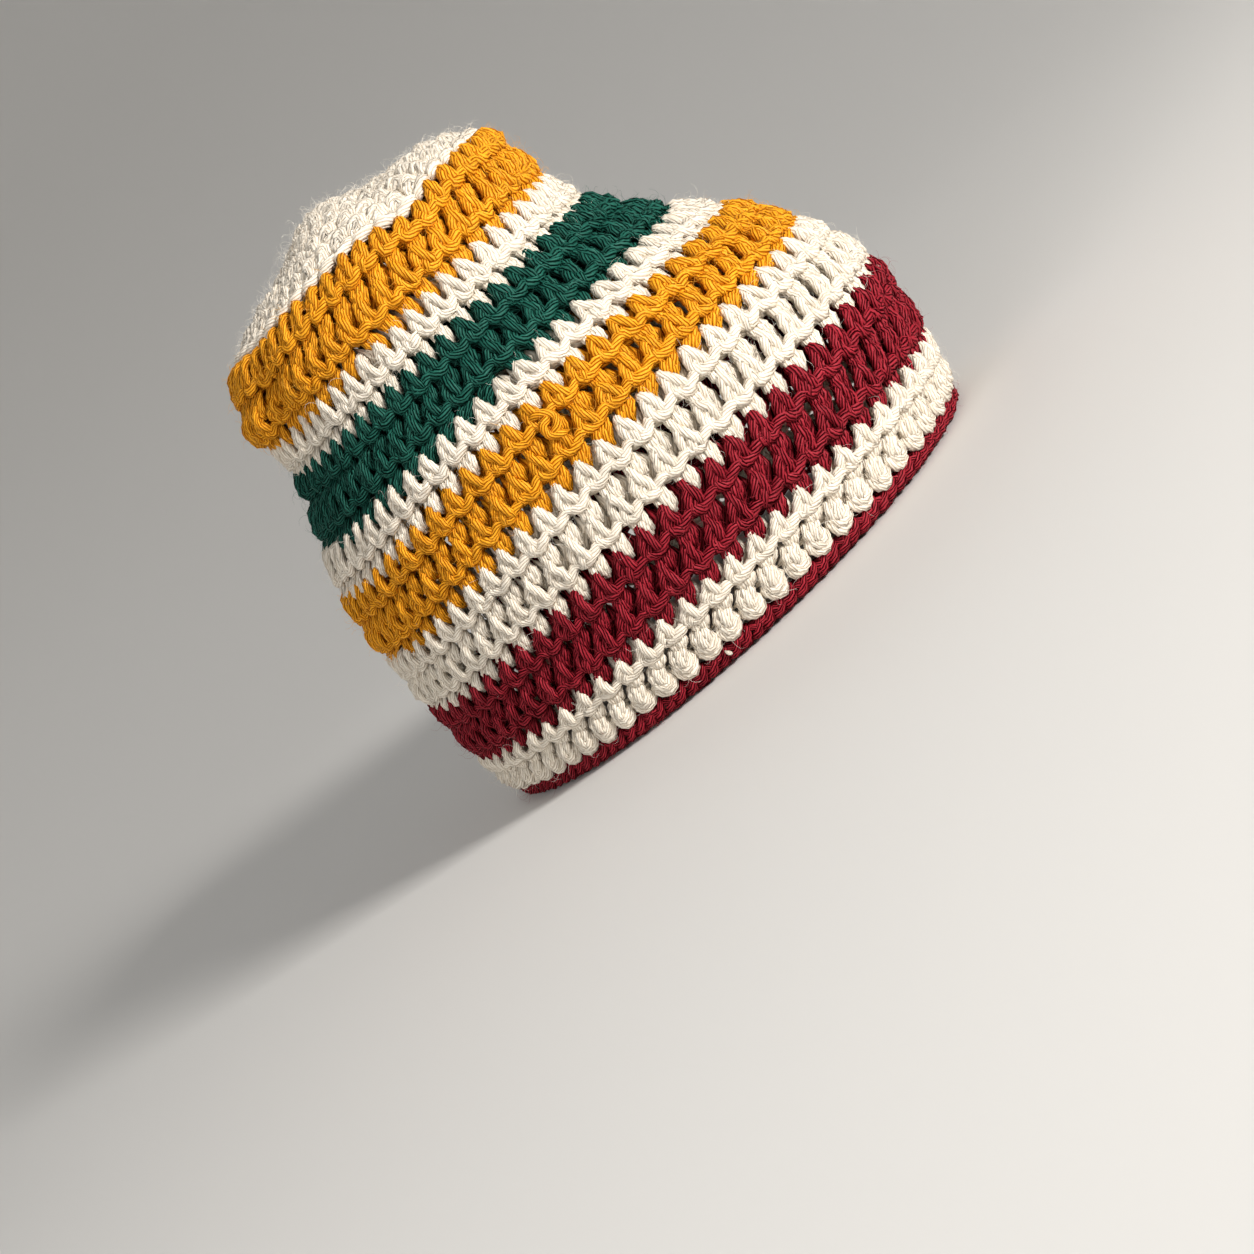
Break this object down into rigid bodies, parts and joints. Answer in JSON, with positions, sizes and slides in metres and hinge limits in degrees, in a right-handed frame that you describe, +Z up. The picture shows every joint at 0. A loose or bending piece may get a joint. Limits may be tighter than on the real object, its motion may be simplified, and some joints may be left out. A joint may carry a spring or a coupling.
{
  "type": "crocheted slouchy beanie",
  "caption": "Striped crocheted beanie with a thick stretchy wall, a plain edge and a soft domed crown, standing on its rim.",
  "frame": {"origin": "under the middle of the hat's box, on the surface that its rim rests on", "axes": "+Z up from the rim to the crown, -Y the way the wearer looks, +X the wearer's left"},
  "size_m": [0.1614, 0.2044, 0.1822],
  "materials": {
    "maroon_yarn": "soft matte plied yarn, dark red",
    "cream_yarn": "soft matte plied yarn, warm off-white",
    "gold_yarn": "soft matte plied yarn, golden yellow",
    "green_yarn": "soft matte plied yarn, deep green"
  },
  "bodies": {
    "root": {"rim_edge": "maroon_yarn", "cream_lowest": "cream_yarn", "maroon_band": "maroon_yarn", "cream_lower": "cream_yarn", "gold_lower": "gold_yarn", "cream_middle": "cream_yarn", "green_band": "green_yarn", "cream_upper": "cream_yarn", "gold_upper": "gold_yarn", "crown_top": "cream_yarn"}
  },
  "joints": []
}
